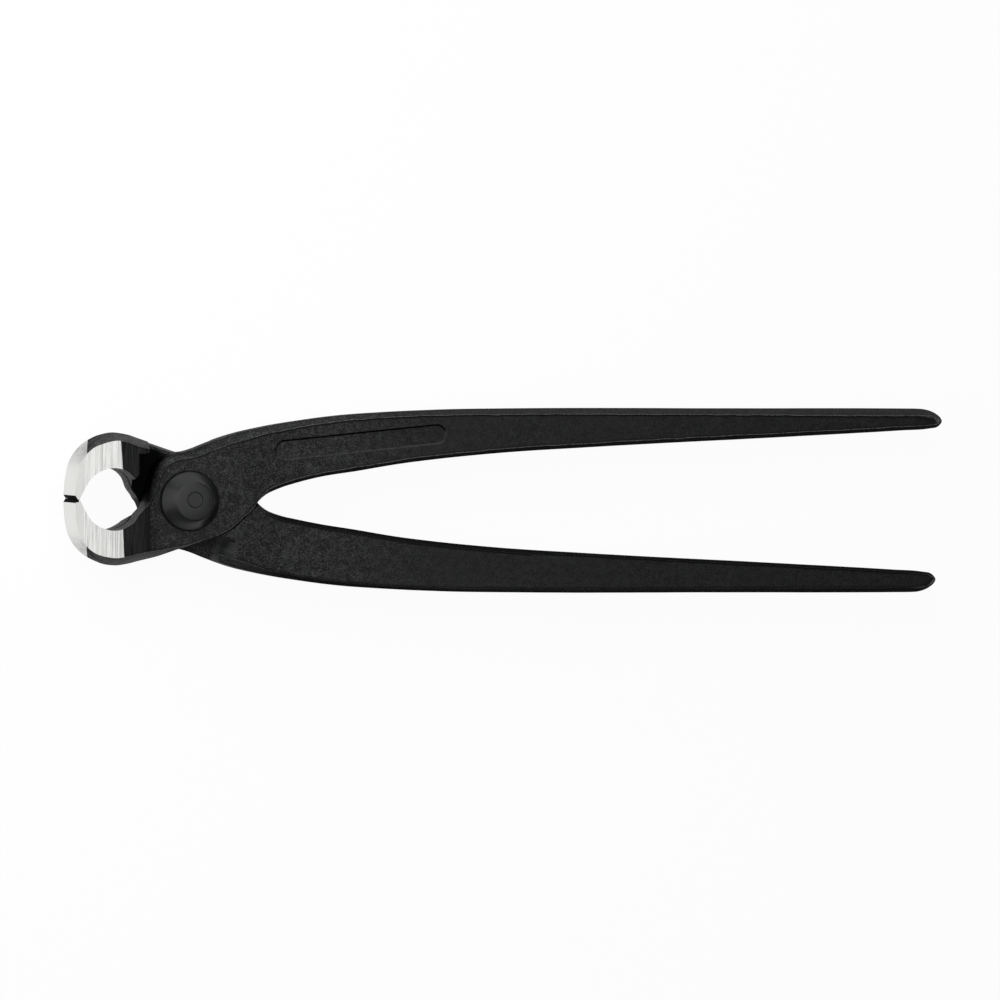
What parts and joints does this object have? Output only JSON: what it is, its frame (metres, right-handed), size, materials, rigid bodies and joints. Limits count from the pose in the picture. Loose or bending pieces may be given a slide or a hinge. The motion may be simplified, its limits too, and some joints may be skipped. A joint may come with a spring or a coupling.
{
  "type": "rebar tying pliers",
  "caption": "Forged steel nippers for twisting and cutting tying wire: ground jaws round an open hollow, a riveted lap joint and long tapered handles.",
  "frame": {"origin": "middle of the tool's outer box, on the plane of the lower rivet head's flat, with the tool lying level and closed", "axes": "+X runs from the jaws to the handle ends, +Z is the rivet's axis, towards the side on which the lever with the upper handle laps over the other"},
  "size_m": [0.22, 0.0456, 0.0232],
  "materials": {
    "front_forging": "black oxide on forged steel, jaws ground bright",
    "rear_forging": "black oxide on forged steel, jaws ground bright",
    "rivet_steel": "black oxide on pressed steel"
  },
  "bodies": {
    "rear": {"rear_lever": "rear_forging", "rivet": "rivet_steel"},
    "front": {"front_lever": "front_forging"}
  },
  "joints": [
    {"name": "pivot", "type": "hinge", "parent": "rear", "child": "front", "pos_m": [-0.08155, 0, 0.0116], "axis": [0, 0, 1], "range_deg": [0, 50]}
  ]
}
